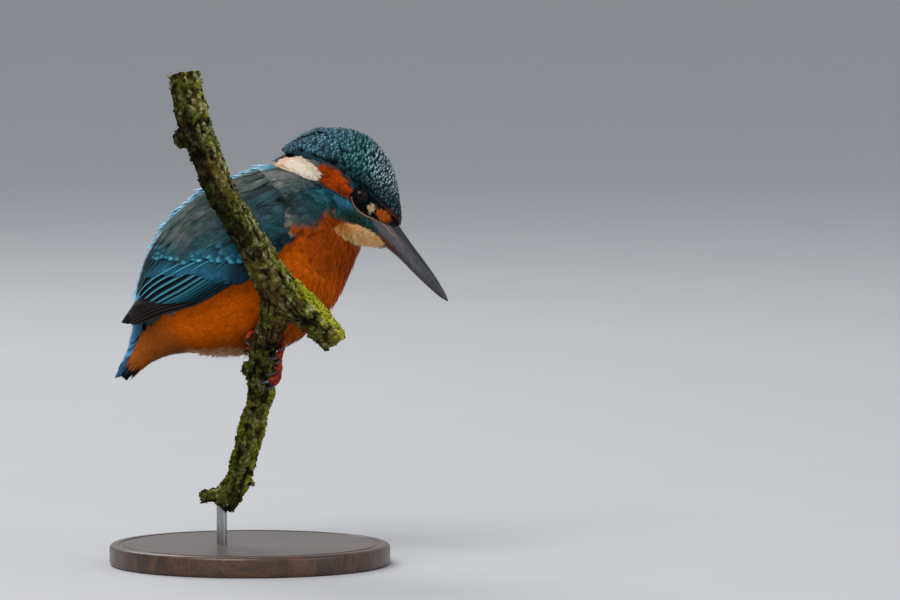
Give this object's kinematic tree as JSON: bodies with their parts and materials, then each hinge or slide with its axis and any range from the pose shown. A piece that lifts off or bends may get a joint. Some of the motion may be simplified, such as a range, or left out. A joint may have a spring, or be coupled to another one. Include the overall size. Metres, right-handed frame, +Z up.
{
  "type": "common kingfisher",
  "caption": "Life-size kingfisher with folded wings and a dagger bill, gripping a forked, lichened twig that a short rod holds above a round wooden base.",
  "frame": {"origin": "middle of the round base's underside", "axes": "+Z up; +X is the way the bird's body faces, so its tail is towards -X; +Y is the bird's left side"},
  "size_m": [0.1304, 0.108, 0.1914],
  "materials": {
    "plumage_blue": "feathers, teal to azure, with a satin structural sheen",
    "plumage_orange": "soft body feathers, rufous orange",
    "bill_horn": "satin horn, black",
    "claw_horn": "satin horn, dark brown",
    "eye": "wet gloss, dark brown",
    "foot_skin": "scaled skin, orange red",
    "bark": "rough bark with lichen and moss",
    "rod_steel": "brushed",
    "base_wood": "turned and oiled, satin"
  },
  "bodies": {
    "root": {"head": "plumage_blue", "neck": "plumage_blue", "trunk": "plumage_orange", "tail": "plumage_blue", "wing_left": "plumage_blue", "wing_right": "plumage_blue", "bill_upper": "bill_horn", "bill_lower": "bill_horn", "eye_left": "eye", "eye_right": "eye", "leg_left": "foot_skin", "leg_right": "foot_skin", "claw_left_1": "claw_horn", "claw_left_2": "claw_horn", "claw_left_3": "claw_horn", "claw_left_4": "claw_horn", "claw_right_1": "claw_horn", "claw_right_2": "claw_horn", "claw_right_3": "claw_horn", "claw_right_4": "claw_horn", "perch_twig": "bark", "stand_rod": "rod_steel", "stand_base": "base_wood"}
  },
  "joints": []
}
